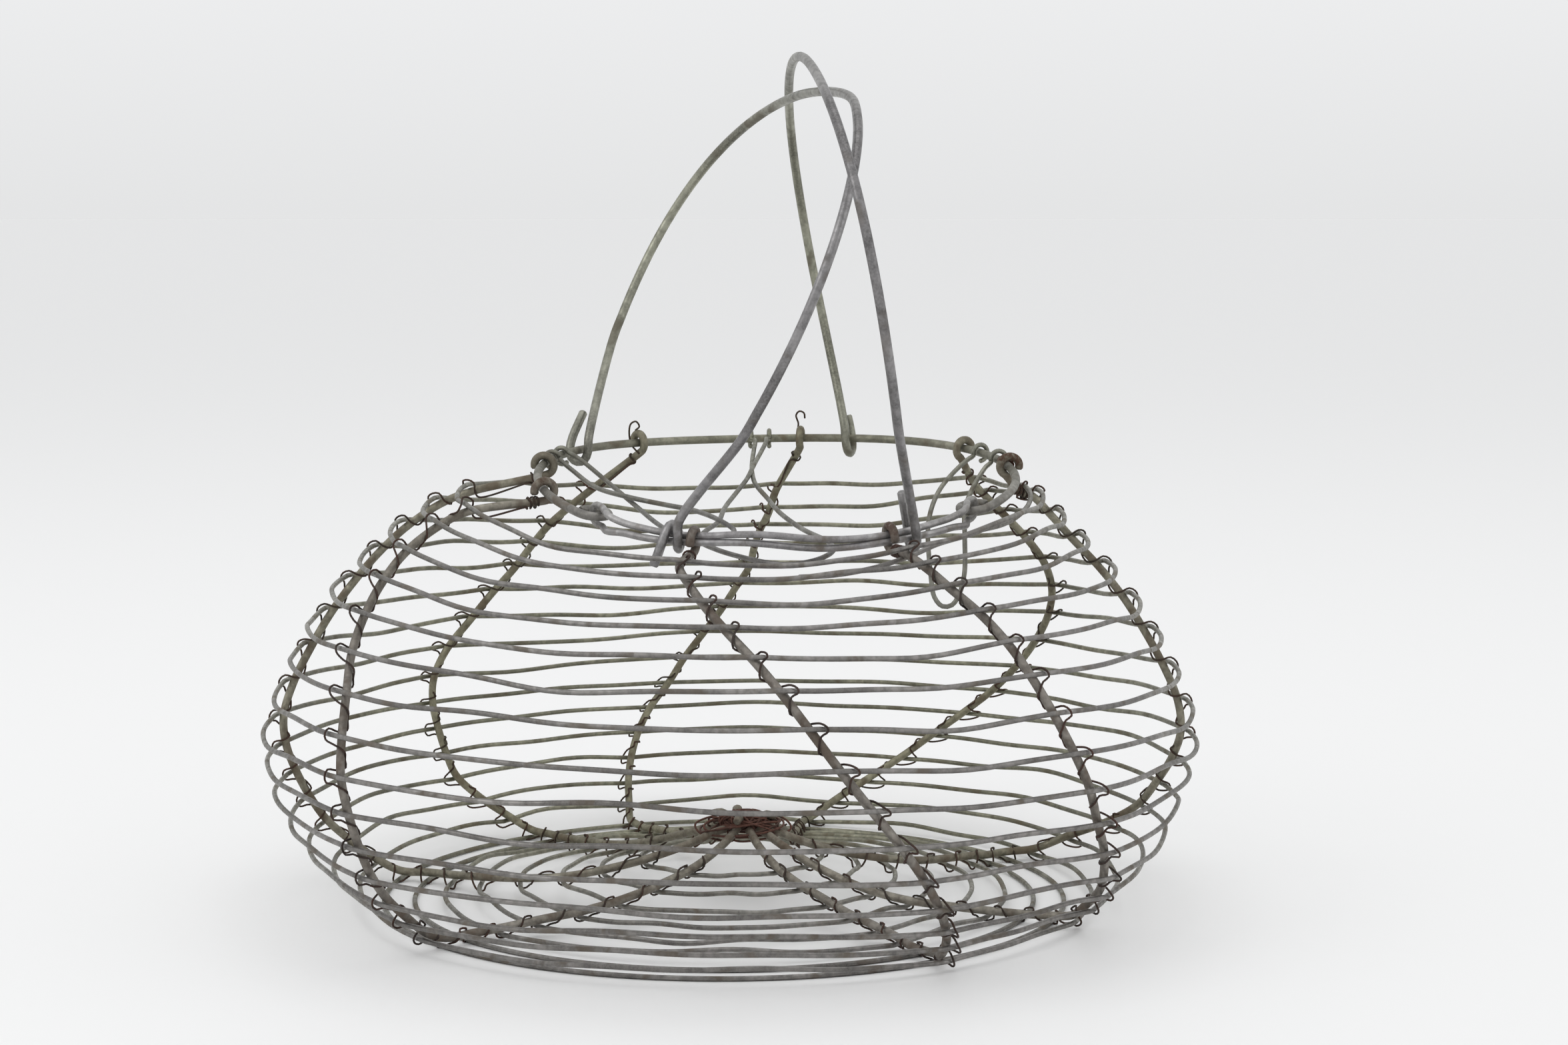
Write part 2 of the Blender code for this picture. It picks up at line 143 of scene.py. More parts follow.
# Each flap: azimuth of its hinge on the rim, half the angle between its eyes, and its wire in
# millimetres from one eye round to the other.
FLAPS = {
    "flap_back": (93.5, 2.4, (
        (8.3, 73.0, 145.9), (8.0, 60.0, 143.6), (7.3, 46.0, 140.8), (7.1, 32.2, 138.4),
        (8.1, 16.5, 135.6), (11.7, -0.4, 132.6), (16.2, -21.0, 129.2), (23.0, -39.0, 126.0),
        (30.2, -52.0, 123.7), (31.5, -62.0, 122.3), (28.0, -72.5, 121.2), (22.5, -80.5, 120.6),
        (16.6, -83.4, 120.3), (11.0, -81.0, 120.6), (4.0, -74.0, 121.3), (-4.5, -63.0, 122.6),
        (-10.0, -51.0, 124.2), (-7.9, -41.0, 126.0), (-4.2, -31.0, 127.6), (-2.0, -14.0, 130.6),
        (1.9, 3.6, 134.0), (5.4, 20.0, 137.0), (7.8, 34.0, 140.4), (10.5, 52.0, 143.6),
        (12.2, 66.0, 145.6), (12.6, 73.0, 146.4))),
    "flap_left": (160.0, 2.9, (
        (-56.6, 18.5, 143.4), (-52.3, 8.0, 141.0), (-43.5, -8.0, 136.6), (-32.2, -20.5, 134.6),
        (-20.4, -31.0, 133.2), (-11.8, -40.0, 132.4), (-3.4, -54.0, 130.6), (1.0, -64.0, 128.4),
        (-1.5, -69.5, 127.6), (-7.0, -71.0, 127.4), (-13.0, -68.5, 127.6), (-18.5, -60.5, 127.9),
        (-23.2, -47.0, 129.1), (-30.4, -23.5, 132.2), (-41.5, 6.0, 138.0), (-50.0, 22.5, 143.0),
        (-54.6, 29.0, 145.2))),
    "flap_right": (22.0, 5.0, (
        (80.6, 32.6, 142.6), (76.3, 28.0, 139.6), (69.6, 17.0, 133.5), (65.8, 7.0, 126.7),
        (64.7, 2.0, 120.5), (65.4, -1.5, 108.0), (66.6, -3.4, 100.0), (69.2, -3.6, 97.0),
        (72.4, -3.0, 97.3), (75.0, -1.8, 101.1), (76.7, 0.3, 107.5), (77.0, 4.0, 119.5),
        (77.4, 9.0, 127.5), (80.2, 14.0, 134.0), (85.2, 19.4, 141.0))),
}
# Bent ends of fine wire at two ribs' eyes: millimetres outward from the rim's centre, up, and
# along the rim.
WIRE_ENDS = {
    "back": (
        (0.2, 3.6, 0.9), (0.4, 5.4, 0.8), (0.4, 8.2, 1.6), (0.3, 9.6, 0.4), (0.3, 9.0, -1.2),
        (0.3, 7.2, -1.5)),
    "back_left": (
        (1.0, 4.4, 0.6), (1.2, 5.6, -1.2), (1.2, 7.4, 0.2), (1.0, 6.6, 2.6), (0.8, 3.2, 3.4),
        (0.6, -0.6, 2.6), (-1.8, -3.6, 1.2)),
}

# Ribs whose ends curl up and back in the middle of the floor: millimetres inward, up and sideways.
CURLED_RIBS = ("front_left", "right", "back", "back_left")
CURL = ((3.0, 0.8, 0.0), (4.9, 2.0, 0.3), (5.2, 3.8, 0.7), (3.2, 5.0, 1.1), (0.4, 4.4, 1.5))

# Close turns of the lashing under a rib's eye, where there is more than one.
COIL_TURNS = {"right": 5, "front_right": 4, "front_left": 3, "left": 2}

# How rusty the ribs' eyes are, 0 to 1.
EYE_RUST = {"right": 1.0, "front_right": 0.55, "front_left": 0.5, "front": 0.3}
PLAIN_EYE_RUST = 0.15
FLOOR_RUST = 0.25

# The tie in the middle of the floor: its windings, and the half sizes of a tight and a loose one.
HUB_WINDINGS = 46
LOOSE_EVERY = 5
TIGHT_WINDING = (0.0080, 0.0066, 0.0029)
LOOSE_WINDING = (0.0150, 0.0120, 0.0036)
LOOSE_DROP = 0.0022
HUB_LIFT = 0.0027

CAMERA_PLACE = (0.0, -0.985, 0.227)
CAMERA_PITCH = -5.95
CAMERA_YAW = -1.01
CAMERA_LENS = 69.4
SENSOR_WIDTH = 36


# ---------------------------------------------------------------- curves

def smooth(xs, ys, x):
    """Monotone cubic through the points (xs, ys)."""
    xs, ys = np.asarray(xs, float), np.asarray(ys, float)
    slope = np.diff(ys) / np.diff(xs)
    tangent = np.concatenate([slope[:1], (slope[:-1] + slope[1:]) / 2, slope[-1:]])
    for i in range(1, len(xs) - 1):
        if slope[i - 1] * slope[i] <= 0:
            tangent[i] = 0
        else:
            tangent[i] = 2 * slope[i - 1] * slope[i] / (slope[i - 1] + slope[i])
    i = int(np.clip(np.searchsorted(xs, x) - 1, 0, len(xs) - 2))
    h = xs[i + 1] - xs[i]
    t = (x - xs[i]) / h
    return (
        ys[i] * (2 * t**3 - 3 * t**2 + 1)
        + ys[i + 1] * (3 * t**2 - 2 * t**3)
        + h * tangent[i] * (t**3 - 2 * t**2 + t)
        + h * tangent[i + 1] * (t**3 - t**2)
    )


TURN_TABLE = np.linspace(MOUTH_TURN, HUB_TURN, 1200)
SKIN_TABLE = [None] + [
    np.array([smooth([r[0] for r in SKIN], [r[c] for r in SKIN], t) for t in TURN_TABLE])
    for c in range(1, 6)
]


def skin_value(column, turn):
    return float(np.interp(turn, TURN_TABLE, SKIN_TABLE[column]))


def skin(turn, azimuth, out=0.0):
    """Point on the basket's skin, moved out of it by a distance; azimuth is in degrees."""
    radius, height = skin_value(1, turn), skin_value(2, turn)
    a, b = max(turn - 0.05, MOUTH_TURN), min(turn + 0.05, HUB_TURN)
    along = Vector((skin_value(1, b) - skin_value(1, a), skin_value(2, b) - skin_value(2, a)))
    along.normalize()
    radius -= out * along.y
    height += out * along.x
    angle = math.radians(azimuth)
    y = radius * math.sin(angle)
    height += skin_value(4, turn) * y + skin_value(5, turn) * math.cos(2 * angle)
    return Vector((skin_value(3, turn) + radius * math.cos(angle), y, height))


def rim_point(azimuth):
    return skin(MOUTH_TURN, azimuth)


def rim_direction(azimuth):
    return (rim_point(azimuth + 1) - rim_point(azimuth - 1)).normalized()


def rib_azimuth(name, turn):
    return smooth(RIB_TURNS, RIB_AZIMUTHS[name], turn)


def crossing_turn(name, count):
    turn = float(count)
    for _ in range(12):
        turn = count + (rib_azimuth(name, turn) - 270) / 360
    return turn


def arc(centre, start, across, sweep, count):
    points = []
    for i in range(count + 1):
        angle = math.radians(sweep) * i / count
        points.append(centre + start * math.cos(angle) + across * math.sin(angle))
    return points


def spline(points, step=0.0012, closed=False):
    """Centripetal curve through the points, sampled about every step."""
    points = [Vector(p) for p in points]
    if closed:
        points = [points[-1]] + points + points[:2]
    else:
        points = [points[0] * 2 - points[1]] + points + [points[-1] * 2 - points[-2]]
    out = []
    for p0, p1, p2, p3 in zip(points, points[1:], points[2:], points[3:]):
        a, b, c = [max((q - p).length, 1e-6) ** 0.5 for p, q in ((p0, p1), (p1, p2), (p2, p3))]
        m1 = (p2 - p1) + ((p1 - p0) / a - (p2 - p0) / (a + b)) * b
        m2 = (p2 - p1) + ((p3 - p2) / c - (p3 - p1) / (b + c)) * b
        count = max(2, int((p2 - p1).length / step))
        for i in range(count):
            t = i / count
            out.append(
                p1 * (2 * t**3 - 3 * t**2 + 1)
                + m1 * (t**3 - 2 * t**2 + t)
                + p2 * (3 * t**2 - 2 * t**3)
                + m2 * (t**3 - t**2)
            )
    if not closed:
        out.append(points[-2])
    return out


def wander(seed, waves=5):
    """A smooth, seeded function of one number, about -1 to 1."""
    dice = random.Random(seed)
    terms = []
    for k in range(waves):
        terms.append((dice.uniform(0.3, 1) * 2 * math.pi * (k + 1), dice.uniform(0, 6.28)))
    return lambda x: sum(math.sin(w * x + p) for w, p in terms) / math.sqrt(waves)


def tube(name, points, radius, sides=10, closed=False, rust=None):
    """A round wire as one closed mesh, whose faces are turned inward.

    rust is a number for each point, 0 to 1, or None.
    """
    p = np.array([tuple(v) for v in points], float)
    n = len(p)
    r = np.full(n, radius, float) if np.isscalar(radius) else np.asarray(radius, float)
    t = np.gradient(p, axis=0)
    if closed:
        t = np.roll(p, -1, 0) - np.roll(p, 1, 0)
    t /= np.linalg.norm(t, axis=1)[:, None] + 1e-12
    start = np.array((0.0, 0.0, 1.0)) if abs(t[0][2]) < 0.9 else np.array((1.0, 0.0, 0.0))
    u = np.zeros_like(p)
    last = start - t[0] * start.dot(t[0])
    for i in range(n):
        last = last - t[i] * last.dot(t[i])
        last /= np.linalg.norm(last) + 1e-12
        u[i] = last
    if closed:
        end = u[-1] - t[0] * u[-1].dot(t[0])
        twist = math.atan2(float(np.dot(np.cross(end, u[0]), t[0])), float(end.dot(u[0])))
        turn = np.linspace(0, twist, n)[:, None]
        u = u * np.cos(turn) + np.cross(t, u) * np.sin(turn)
    v = np.cross(t, u)
    angles = np.linspace(0, 2 * np.pi, sides, endpoint=False)
    ring = np.cos(angles)[None, :, None] * u[:, None] + np.sin(angles)[None, :, None] * v[:, None]
    verts = p[:, None] + ring * r[:, None, None]
    rows = [verts[i] for i in range(n)]
    level = list(np.zeros(n) if rust is None else rust)
    if not closed:
        # A cut end is a flat with a small worn edge.
        rows = [p[0] - t[0] * r[0] * 0.35 + ring[0] * r[0] * 0.72] + rows
        rows += [p[-1] + t[-1] * r[-1] * 0.35 + ring[-1] * r[-1] * 0.72]
        level = [level[0]] + level + [level[-1]]
    n = len(rows)
    faces = []
    for i in range(n if closed else n - 1):
        j = (i + 1) % n
        for k in range(sides):
            m = (k + 1) % sides
            faces.append((i * sides + k, j * sides + k, j * sides + m, i * sides + m))
    if not closed:
        faces.append(tuple(range(sides)))
        faces.append(tuple((n - 1) * sides + k for k in reversed(range(sides))))
    mesh = bpy.data.meshes.new(name)
    mesh.from_pydata(np.concatenate(rows).tolist(), [], faces)
    mesh.polygons.foreach_set("use_smooth", [len(f) == 4 for f in faces])
    attribute = mesh.attributes.new("rust", "FLOAT", "POINT")
    attribute.data.foreach_set("value", np.repeat(np.array(level, np.float32), sides))
    mesh.update()
    thing = bpy.data.objects.new(name, mesh)
    bpy.context.scene.collection.objects.link(thing)
    return thing


# ---------------------------------------------------------------- routes of the wires

def rib_inset():
    """Distance from the skin, on the side wire's middle, in to the rib's middle."""
    return SIDE_R + RIB_R + SIDE_GAP


def rib_eye(name):
    """A rib's eye round the rim, from its open end to where the rib leaves it."""
    azimuth = rib_azimuth(name, MOUTH_TURN)
    wide = tall = EYE_R
    if name in RIBS_ON_LINK:
        wide, tall = LINK_EYE_WIDE, LINK_EYE_TALL
    along = rim_direction(azimuth)
    outward = along.cross(Vector((0, 0, 1))).normalized()
    up = outward.cross(along)
    a = math.radians(EYE_START)
    start = outward * wide * math.cos(a) + up * tall * math.sin(a)
    across = up * tall * math.cos(a) - outward * wide * math.sin(a)
    return arc(rim_point(azimuth), start, across, EYE_SWEEP, 12)


def rib_route(name):
    crossings = [crossing_turn(name, count) for count in range(-2, 26)]
    turns = [turn for turn in crossings if FIRST_TURN < turn < HUB_TURN - 0.3]
    shake = wander("rib " + name)
    wall = []
    for turn in turns:
        bend = 0.5 * shake(turn / 6.0) / max(skin_value(1, turn) / FULL_RADIUS, 0.5)
        wall.append(skin(turn, rib_azimuth(name, turn) + bend * 0.35, -rib_inset()))
    return rib_eye(name) + wall + rib_end(name)


def rib_end(name):
    """The end of a rib in the middle of the floor; every other one is curled up and back."""
    azimuth = rib_azimuth(name, HUB_TURN)
    end = skin(HUB_TURN, azimuth, -rib_inset())
    inward = Vector((-math.cos(math.radians(azimuth)), -math.sin(math.radians(azimuth)), 0))
    up = Vector((0, 0, 1))
    if name not in CURLED_RIBS:
        return [end, end + inward * 0.0035 + up * 0.0006]
    side = inward.cross(up)
    return [end] + [end + (inward * a + up * b + side * c) * 0.001 for a, b, c in CURL]


# Turns of the spiral at which it crosses a rib.
CROSSINGS = sorted(crossing_turn(name, n) for name in RIB_AZIMUTHS for n in range(-2, 26))


def side_wire_route():
    """The whole spiral: it bends at each rib, runs flatter and wavers a little between them."""
    shake, sway = wander("side wire", 9), wander("side wire out", 9)
    points = []
    for turn in np.linspace(FIRST_TURN, LAST_TURN, 3900):
        i = int(np.searchsorted(CROSSINGS, turn))
        f = (turn - CROSSINGS[i - 1]) / max(CROSSINGS[i] - CROSSINGS[i - 1], 1e-6)
        bow = math.sin(math.pi * f) ** 0.8
        level = BASE_TURNS[0] < turn < BASE_TURNS[1]
        out = -(0 if level else bow) * WIRE_BOW * skin_value(1, turn)
        point = skin(turn, 270 + 360 * turn, out)
        free = 0.0 if level else bow**2 * min(1.0, skin_value(1, turn) / FULL_RADIUS)
        point.z += 0.0011 * free * shake(turn * 1.7)
        radial = Vector((point.x, point.y, 0)).normalized()
        points.append(point + radial * 0.0006 * free * sway(turn * 1.3))
    lead = spline([Vector(p) for p in SIDE_WIRE_START] + [points[4], points[30]], 0.0015)
    last = min(range(len(lead)), key=lambda k: (lead[k] - points[4]).length)
    return lead[:last] + points[4:]


def lashing_route(name):
    """Fine soft wire down a rib: a loose bow beside each crossing, then a turn round the rib."""
    dice = random.Random("lashing " + name)
    rib = spline(rib_route(name), 0.0005)
    crossings = [crossing_turn(name, n) for n in range(-1, 25)]
    stops = [turn for turn in crossings if FIRST_TURN + 0.05 < turn < LAST_TURN - 0.2]
    middle = skin(9, rib_azimuth(name, 9))
    turns = COIL_TURNS.get(name, 1)
    points = coil(rib, 36, 38 + 2 * turns, turns, RIB_R + LASH_R, dice)
    for turn, after in zip(stops, stops[1:] + [None]):
        azimuth = rib_azimuth(name, turn)
        here = skin(turn, azimuth, -rib_inset())
        ahead = skin(turn + 0.1, rib_azimuth(name, turn + 0.1), -rib_inset())
        down = (ahead - skin(turn - 0.1, rib_azimuth(name, turn - 0.1), -rib_inset())).normalized()
        side = (skin(turn, azimuth + 8) - skin(turn, azimuth - 8)).normalized()
        out = side.cross(down).normalized()
        out = out if out.dot(skin(turn, azimuth, 0.01) - skin(turn, azimuth)) > 0 else -out
        bow = side if side.x * middle.x > 0 else -side
        bow = (bow - down * bow.dot(down)).normalized()
        span = 0.009
        if after is not None:
            span = (skin(after, rib_azimuth(name, after), -rib_inset()) - here).length
        slack = dice.uniform(0.0001, 0.0011) * min(1.0, span / 0.010)
        close = RIB_R + LASH_R + LASH_GAP
        skew = down.dot(side) / max(abs(bow.dot(side)), 0.3) * math.copysign(1, bow.dot(side))
        drop = down * (close + 0.0004 + slack) * skew
        over = rib_inset() + SIDE_R + LASH_R + LASH_GAP
        half = dice.uniform(0.0013, 0.0020) * min(1.0, span / 0.009)
        points += [
            here - down * 0.24 * span - out * close,
            here - down * 0.17 * span + drop * 0.3 + bow * close,
            here - down * half + drop * 0.8 + bow * (close + 0.0002 + 0.7 * slack) + out * over * 0.75,
            here + drop + bow * (close + 0.0004 + slack) + out * over,
            here + down * half + drop * 0.8 + bow * (close + 0.0002 + 0.7 * slack) + out * over * 0.95,
            here + down * 0.21 * span + bow * 0.0008 + out * (close + 0.0004),
            here + down * 0.33 * span - bow * 0.0012 + out * close * 0.75,
            here + down * 0.43 * span - bow * close - out * 0.0003,
            here + down * 0.56 * span - out * close,
        ]
    for point in points:
        point.z = max(point.z, 0.0004)
    return points


def coil(line, first, last, turns, radius, dice):
    """Points of a tight coil round part of a line."""
    points, count = [], turns * 8
    side = (line[first + 1] - line[first]).orthogonal().normalized()
    for k in range(count + 1):
        i = int(first + (last - first) * k / count)
        along = (line[i + 1] - line[i]).normalized()
        side = (side - along * side.dot(along)).normalized()
        angle = 2 * math.pi * k / 8
        r = radius + dice.uniform(0, 0.0002)
        points.append(line[i] + (side * math.cos(angle) + along.cross(side) * math.sin(angle)) * r)
    return points


def hoop_route():
    angles = np.linspace(HOOP_START, HOOP_END, 30)
    shake = wander("hoop")
    middle = []
    for azimuth in angles:
        ease = min(azimuth - HOOP_START, HOOP_END - azimuth) / 30
        drop = 0.0005 * shake(azimuth / 400) * min(1, ease)
        middle.append(rim_point(azimuth) + Vector((0, 0, drop)))
    ends = []
    for azimuth, sign in ((HOOP_START, -1), (HOOP_END, 1)):
        along = rim_direction(azimuth) * sign
        outward = rim_direction(azimuth).cross(Vector((0, 0, 1))).normalized()
        centre = rim_point(azimuth) - outward * END_EYE_R
        ends.append(arc(centre, outward * END_EYE_R, along * END_EYE_R, 290, 10)[1:])
    ends[0].reverse()
    return ends[0] + middle + ends[1]


def link_route():
    start, end = HOOP_END + 1.4, 360 + HOOP_START - 1.4
    degree = math.degrees(1 / SKIN[0][1])
    near_end = [degree * d for d in (0, 0.003, 0.0065, 0.011, 0.017)]
    angles = [start + d for d in near_end]
    angles += list(np.linspace(angles[-1], end - near_end[-1], 16)[1:-1])
    angles += [end - d for d in reversed(near_end)]
    upper, lower = [], []
    for angle in angles:
        distance = min(angle - start, end - angle) / degree
        shift = smooth((0, 0.003, 0.011, 0.10), (1, 0.95, 0, 0), distance)
        wide = smooth((0, 0.0065, 0.017, 0.10), (1, 1, 0, 0), distance)
        half = LINK_HALF_HEIGHT + (LINK_END_HALF_HEIGHT - LINK_HALF_HEIGHT) * wide
        azimuth = float(angle)
        inward = rim_direction(azimuth).cross(Vector((0, 0, -1))).normalized()
        middle = rim_point(azimuth) + inward * END_EYE_R * shift
        squeeze = 1 - wide
        from_rib = min(abs(azimuth - rib_azimuth(name, MOUTH_TURN)) for name in RIBS_ON_LINK)
        half += squeeze * (0.0005 * math.sin(min(from_rib / 22, 1) * math.pi / 2) ** 2 - 0.0005)
        cross = inward * 0.0006 * squeeze * math.sin(distance * 60)
        lift = math.exp(-((azimuth - 264) / 13) ** 2)
        sag = Vector((0, 0, 0.0024 * squeeze * lift))
        upper.append(middle + cross + sag + Vector((0, 0, half)))
        lower.append(middle - cross + sag - Vector((0, 0, half)))
    lower.reverse()
    caps = []
    for azimuth, sign, first, last in (
        (end, 1, upper[-1], lower[0]),
        (start, -1, lower[-1], upper[0]),
    ):
        along = rim_direction(azimuth) * sign * LINK_END_HALF_HEIGHT * 0.8
        caps.append(arc((first + last) / 2, (first - last) / 2, along, 180, 4)[1:-1])
    return upper + caps[0] + lower + caps[1]


def bail_frame(name):
    """Middle of the line between a bail's feet, that line's direction, the crown's, and half."""
    back, front, lean = BAILS[name][:3]
    a, b = rim_point(back), rim_point(front)
    axis = (b - a).normalized()
    up = Vector((0, 0, 1))
    up = (up - axis * up.dot(axis)).normalized()
    crown = Matrix.Rotation(math.radians(-lean), 3, axis) @ up
    if crown.x * lean < 0:
        crown = Matrix.Rotation(math.radians(lean), 3, axis) @ up
    return (a + b) / 2, axis, crown, (b - a).length / 2


def bail_foot(name, end, centre):
    """A bail's bent foot, from the leg to the cut end, round the rim's centre."""
    azimuth = BAILS[name][end]
    tangent = rim_direction(azimuth)
    outward = tangent.cross(Vector((0, 0, 1))).normalized()
    up = outward.cross(tangent)
    if up.z < 0:
        up = -up
    return [centre + (outward * o + up * u + tangent * t) * 0.001 for o, u, t in FEET[name][end]]


def bail_route(name):
    height, back_bulge, front_bulge, skew, warp = BAILS[name][3:]
    middle, axis, crown, half = bail_frame(name)
    arch = []
    for i in range(4, 45):
        t = math.pi * i / 48
        bulge = smooth((0, 20, 28, 48), (back_bulge, back_bulge, front_bulge, front_bulge), i)
        along = -half * math.cos(t) * (1 + bulge * math.sin(t)) + skew * math.sin(t)
        bend = axis.cross(crown) * warp * math.sin(2 * t) * math.sin(t)
        arch.append(middle + axis * along + crown * height * math.sin(t) + bend)
    back_foot = bail_foot(name, 0, middle - axis * half)
    front_foot = bail_foot(name, 1, middle + axis * half)
    return back_foot[::-1] + arch + front_foot


def flap_eye(azimuth, next_point):
    """An eye round the rim that ends at the strand's first point."""
    hinge = rim_direction(azimuth)
    at = rim_point(azimuth)
    level = Vector(next_point) - at
    level = (level - hinge * level.dot(hinge)).normalized()
    up = hinge.cross(level)
    up = up if up.z > 0 else -up
    radius = RIM_R + FLAP_R + 0.0006
    return arc(at, level * radius, up * radius, 285, 10)


def flap_route(name):
    azimuth, spread, strand = FLAPS[name]
    points = [Vector(p) * 0.001 for p in strand]
    first = flap_eye(azimuth + spread, points[0])
    last = flap_eye(azimuth - spread, points[-1])
    return first[::-1] + points + last


# ---------------------------------------------------------------- materials

def wire_metal(name, dark, mid, pale, brown, rust, rough, brown_share, spangle, scale=1.0):
    """Old wire: mottled zinc with brown stains, and rust where the mesh says so."""
    material = bpy.data.materials.new(name)
    material.use_nodes = True
    tree = material.node_tree
    nodes, links = tree.nodes, tree.links
    shader = nodes["Principled BSDF"]
    place = nodes.new("ShaderNodeTexCoord")

    def noise(size, detail, low, high, distort=0.0):
        one = nodes.new("ShaderNodeTexNoise")
        one.inputs["Scale"].default_value = size * scale
        one.inputs["Detail"].default_value = detail
        one.inputs["Distortion"].default_value = distort
        links.new(place.outputs["Object"], one.inputs["Vector"])
        spread = nodes.new("ShaderNodeMapRange")
        spread.inputs["From Min"].default_value = low
        spread.inputs["From Max"].default_value = high
        links.new(one.outputs["Fac"], spread.inputs["Value"])
        return spread.outputs["Result"]

    def blend(factor, a, b):
        mix = nodes.new("ShaderNodeMix")
        mix.data_type = "RGBA"
        links.new(factor, mix.inputs["Factor"])
        for socket, value in ((mix.inputs[6], a), (mix.inputs[7], b)):
            if isinstance(value, tuple):
                socket.default_value = (*value, 1)
            else:
                links.new(value, socket)
        return mix.outputs[2]

    def math_node(kind, a, b, clamp=False):
        one = nodes.new("ShaderNodeMath")
        one.operation = kind
        one.use_clamp = clamp
        for socket, value in zip(one.inputs, (a, b)):
            if isinstance(value, (int, float)):
                socket.default_value = value
            else:
                links.new(value, socket)
        return one.outputs[0]

    broad = noise(38, 3, 0.38, 0.62)
    fine = noise(420, 4, 0.35, 0.68, 0.4)
    grains = noise(1900, 2, 0.35, 0.65)
    stain = noise(95, 5, 0.62 - brown_share * 0.3, 0.72 - brown_share * 0.2, 0.8)
    flake = noise(700, 5, 0.30, 0.60, 0.6)
    attribute = nodes.new("ShaderNodeAttribute")
    attribute.attribute_name = "rust"
    grown = math_node("MULTIPLY", attribute.outputs["Fac"], 1.7)
    rusted = math_node("MULTIPLY", grown, flake, True)

    # The patina is a cool grey towards the front and olive towards the back.
    split = nodes.new("ShaderNodeSeparateXYZ")
    links.new(place.outputs["Object"], split.inputs[0])
    towards_back = nodes.new("ShaderNodeMapRange")
    towards_back.inputs["From Min"].default_value = -0.08
    towards_back.inputs["From Max"].default_value = 0.08
    links.new(split.outputs["Y"], towards_back.inputs["Value"])
    tint = nodes.new("ShaderNodeMix")
    tint.data_type = "RGBA"
    tint.blend_type = "MULTIPLY"
    tint.inputs["Factor"].default_value = 1.0
    patina = blend(towards_back.outputs["Result"], (0.99, 0.965, 1.0), (1.06, 1.06, 0.87))
    links.new(patina, tint.inputs[7])
    colour = blend(broad, mid, pale)
    colour = blend(math_node("MULTIPLY", fine, 0.55), colour, dark)
    colour = blend(math_node("MULTIPLY", grains, spangle), colour, pale)
    colour = blend(math_node("MULTIPLY", stain, 0.75), colour, brown)
    colour = blend(rusted, colour, rust)
    links.new(colour, tint.inputs[6])
    links.new(tint.outputs[2], shader.inputs["Base Color"])

    dull = math_node("MAXIMUM", math_node("MULTIPLY", stain, 0.8), rusted)
    metal = math_node("SUBTRACT", 0.85, math_node("MULTIPLY", dull, 0.75), True)
    links.new(metal, shader.inputs["Metallic"])
    rougher = math_node("MULTIPLY", dull, 0.30)
    patchy = math_node("MULTIPLY", fine, 0.14)
    roughness = math_node("ADD", math_node("ADD", rougher, patchy), rough, True)
    links.new(roughness, shader.inputs["Roughness"])

    height = math_node("ADD", math_node("MULTIPLY", grains, 0.35), fine)
    height = math_node("ADD", height, math_node("MULTIPLY", dull, flake))
    bump = nodes.new("ShaderNodeBump")
    bump.inputs["Strength"].default_value = 0.45
    bump.inputs["Distance"].default_value = 0.00012
    links.new(height, bump.inputs["Height"])
    links.new(bump.outputs["Normal"], shader.inputs["Normal"])
    return material


# Each metal: name; dark, middle, pale, brown and rust colours; roughness; share of brown stains;
# strength of the zinc's spangle; and scale of its pattern, where that isn't 1.
SIDE_METAL = wire_metal(
    "side_wire", (0.070, 0.068, 0.062), (0.165, 0.161, 0.146), (0.30, 0.295, 0.27),
    (0.11, 0.090, 0.062), (0.070, 0.036, 0.020), 0.38, 0.28, 0.25)
RIB_METAL = wire_metal(
    "rib_wire", (0.085, 0.078, 0.066), (0.190, 0.176, 0.148), (0.31, 0.295, 0.255),
    (0.105, 0.078, 0.054), (0.070, 0.036, 0.023), 0.48, 0.42, 0.20)
HOOP_METAL = wire_metal(
    "hoop_wire", (0.085, 0.083, 0.078), (0.180, 0.176, 0.158), (0.31, 0.305, 0.285),
    (0.115, 0.092, 0.066), (0.065, 0.033, 0.019), 0.46, 0.22, 0.20)
BAIL_METAL = wire_metal(
    "bail_wire", (0.060, 0.060, 0.058), (0.150, 0.148, 0.142), (0.33, 0.33, 0.32),
    (0.100, 0.088, 0.070), (0.08, 0.045, 0.03), 0.32, 0.20, 0.35, 0.8)
LINK_METAL = wire_metal(
    "link_wire", (0.12, 0.118, 0.113), (0.25, 0.245, 0.235), (0.42, 0.42, 0.41),
    (0.15, 0.125, 0.095), (0.08, 0.040, 0.022), 0.40, 0.22, 0.25)
FLAP_METAL = wire_metal(
    "flap_wire", (0.075, 0.075, 0.070), (0.155, 0.152, 0.140), (0.28, 0.28, 0.26),
    (0.105, 0.090, 0.068), (0.07, 0.036, 0.02), 0.40, 0.22, 0.20)
LASH_METAL = wire_metal(
    "lashing_wire", (0.016, 0.013, 0.012), (0.036, 0.028, 0.024), (0.075, 0.064, 0.055),
    (0.045, 0.027, 0.018), (0.060, 0.028, 0.018), 0.50, 0.60, 0.10, 1.4)
HUB_METAL = wire_metal(
    "hub_tie", (0.030, 0.018, 0.015), (0.068, 0.038, 0.031), (0.12, 0.080, 0.066),
    (0.075, 0.034, 0.026), (0.105, 0.045, 0.033), 0.58, 0.75, 0.08, 1.4)


def add(thing, material, body, slot, *nodes):
    thing.data.materials.append(material)
    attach(thing, body)
    if nodes:
        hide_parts(*nodes)
    return thing


# ---------------------------------------------------------------- the object

def make_side_wire():
    points = side_wire_route()
    nodes = [f"side_wire_turn_{number:02d}" for number in range(1, 25)]
    add(tube("side_wire", points, SIDE_R, 10), SIDE_METAL, "basket", "side_wire", *nodes)


